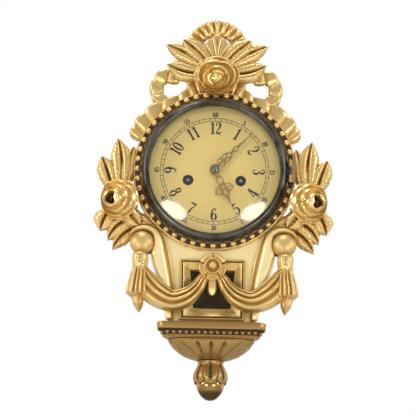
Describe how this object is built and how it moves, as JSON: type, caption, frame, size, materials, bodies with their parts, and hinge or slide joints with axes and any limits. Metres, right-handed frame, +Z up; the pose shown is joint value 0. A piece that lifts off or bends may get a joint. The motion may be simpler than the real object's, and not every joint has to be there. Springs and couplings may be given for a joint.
{
  "type": "cartel wall clock",
  "caption": "Carved gilt wood wall clock with roses, ribbon arch, swags and tassels, hinged beaded bezel, convex glass, pierced hands and a wind-up pendulum movement.",
  "frame": {"origin": "on the wall plane at the rear face of the back cover, straight behind the centre of the dial", "axes": "+Y points into the wall, so the dial faces -Y; +Z is up; +X is to the right of someone reading the dial"},
  "size_m": [0.2736, 0.109, 0.4576],
  "materials": {
    "gilt_wood": "burnished gold leaf over carved wood, darker toning in the hollows",
    "gilt_wood_dark": "duller bronzed gold leaf over turned and carved wood",
    "case_wood": "dark stained softwood",
    "back_wood": "plain planed softwood",
    "patinated_brass": "dark patinated brass",
    "dial_gold": "satin gilt brass sheet",
    "dark_bush": "blackened brass",
    "hand_brass": "polished gilt brass",
    "brass": "machined brass",
    "steel": "plain steel",
    "glass": "clear convex glass"
  },
  "bodies": {
    "case": {"back_cover": "back_wood", "back_cover_screw_foot": "steel", "back_cover_screw_left": "steel", "back_cover_screw_right": "steel", "base_shelf": "gilt_wood_dark", "bead_ring": "gilt_wood", "case_shell": "case_wood", "crest_foliage": "gilt_wood", "crest_rose": "gilt_wood", "dial_plate": "dial_gold", "drop_leaf": "gilt_wood", "finial": "gilt_wood_dark", "front_board": "gilt_wood", "gadroon_bowl": "gilt_wood_dark", "gong": "steel", "hanger_plate": "steel", "hanger_screw_left": "steel", "hanger_screw_right": "steel", "hanging_rail": "back_wood", "hinge_leaf": "patinated_brass", "movement_back_plate": "brass", "movement_front_plate": "brass", "ribbon_arch": "gilt_wood", "ribbon_loop_left": "gilt_wood", "ribbon_loop_right": "gilt_wood", "rosette": "gilt_wood", "scroll_arm_left": "gilt_wood", "scroll_arm_right": "gilt_wood", "scroll_button_left": "gilt_wood", "scroll_button_right": "gilt_wood", "side_leaves_left": "gilt_wood", "side_leaves_right": "gilt_wood", "side_rose_left": "gilt_wood", "side_rose_right": "gilt_wood", "swag_left": "gilt_wood", "swag_right": "gilt_wood", "tassel_left": "gilt_wood", "tassel_right": "gilt_wood", "winding_bush_left": "dark_bush", "winding_bush_right": "dark_bush", "window_frame": "gilt_wood"},
    "bezel": {"bezel_ring": "patinated_brass", "bezel_glass": "glass", "glass_retainer": "patinated_brass"},
    "minute_hand_arbor": {"centre_wheel": "brass", "minute_hand": "hand_brass", "hand_nut": "hand_brass"},
    "hour_hand_pipe": {"hour_wheel": "brass", "hour_hand": "hand_brass"},
    "motion_work_idler": {"minute_wheel": "brass"},
    "third_arbor": {"third_wheel": "brass"},
    "escape_arbor": {"escape_wheel": "brass"},
    "time_mainspring_barrel": {"time_barrel": "brass"},
    "time_winder": {"time_winding_arbor": "steel"},
    "strike_mainspring_barrel": {"strike_barrel": "brass"},
    "strike_winder": {"strike_winding_arbor": "steel"},
    "strike_pin_wheel": {"strike_wheel": "brass"},
    "pendulum_swing": {"pendulum": "brass"},
    "anchor": {"pallet_anchor": "steel"},
    "strike_hammer": {"hammer": "brass"}
  },
  "joints": [
    {"name": "bezel_hinge", "type": "hinge", "parent": "case", "child": "bezel", "pos_m": [0.0888, -0.0793, 0], "axis": [0, 0, 1], "range_deg": [0, 70]},
    {"name": "minute_turn", "type": "hinge", "parent": "case", "child": "minute_hand_arbor", "pos_m": [0, -0.055, 0], "axis": [0, 1, 0], "continuous": true},
    {"name": "hour_turn", "type": "hinge", "parent": "case", "child": "hour_hand_pipe", "pos_m": [0, -0.058, 0], "axis": [0, 1, 0], "continuous": true},
    {"name": "minute_wheel_turn", "type": "hinge", "parent": "case", "child": "motion_work_idler", "pos_m": [0, -0.057, -0.013], "axis": [0, 1, 0], "continuous": true},
    {"name": "third_turn", "type": "hinge", "parent": "case", "child": "third_arbor", "pos_m": [0.0135, -0.034, 0.02338], "axis": [0, 1, 0], "continuous": true},
    {"name": "escape_turn", "type": "hinge", "parent": "case", "child": "escape_arbor", "pos_m": [0, -0.022, 0.03287], "axis": [0, 1, 0], "continuous": true},
    {"name": "time_barrel_turn", "type": "hinge", "parent": "case", "child": "time_mainspring_barrel", "pos_m": [0.031, -0.035, -0.0115], "axis": [0, 1, 0], "continuous": true},
    {"name": "time_winding_turn", "type": "hinge", "parent": "case", "child": "time_winder", "pos_m": [0.031, -0.035, -0.0115], "axis": [0, 1, 0], "continuous": true},
    {"name": "strike_barrel_turn", "type": "hinge", "parent": "case", "child": "strike_mainspring_barrel", "pos_m": [-0.031, -0.033, -0.0115], "axis": [0, 1, 0], "continuous": true},
    {"name": "strike_winding_turn", "type": "hinge", "parent": "case", "child": "strike_winder", "pos_m": [-0.031, -0.033, -0.0115], "axis": [0, 1, 0], "continuous": true},
    {"name": "strike_wheel_turn", "type": "hinge", "parent": "case", "child": "strike_pin_wheel", "pos_m": [-0.02002, -0.0245, 0.01969], "axis": [0, 1, 0], "continuous": true},
    {"name": "pendulum_swing_joint", "type": "hinge", "parent": "case", "child": "pendulum_swing", "pos_m": [0, -0.0106, 0.0463], "axis": [0, 1, 0], "range_deg": [-4, 4]},
    {"name": "anchor_rock", "type": "hinge", "parent": "case", "child": "anchor", "pos_m": [0, -0.0134, 0.0463], "axis": [0, 1, 0], "range_deg": [-4, 4]},
    {"name": "hammer_swing", "type": "hinge", "parent": "case", "child": "strike_hammer", "pos_m": [-0.027, -0.03, -0.047], "axis": [0, -1, 0], "range_deg": [0, 20]}
  ],
  "couplings": [
    {"joint": "hour_turn", "follows": "minute_turn", "ratio": 0.083333},
    {"joint": "minute_wheel_turn", "follows": "minute_turn", "ratio": -0.33333},
    {"joint": "third_turn", "follows": "minute_turn", "ratio": -10},
    {"joint": "escape_turn", "follows": "minute_turn", "ratio": 100},
    {"joint": "time_barrel_turn", "follows": "minute_turn", "ratio": -0.1},
    {"joint": "strike_wheel_turn", "follows": "strike_barrel_turn", "ratio": -10},
    {"joint": "anchor_rock", "follows": "pendulum_swing_joint", "ratio": 1}
  ]
}
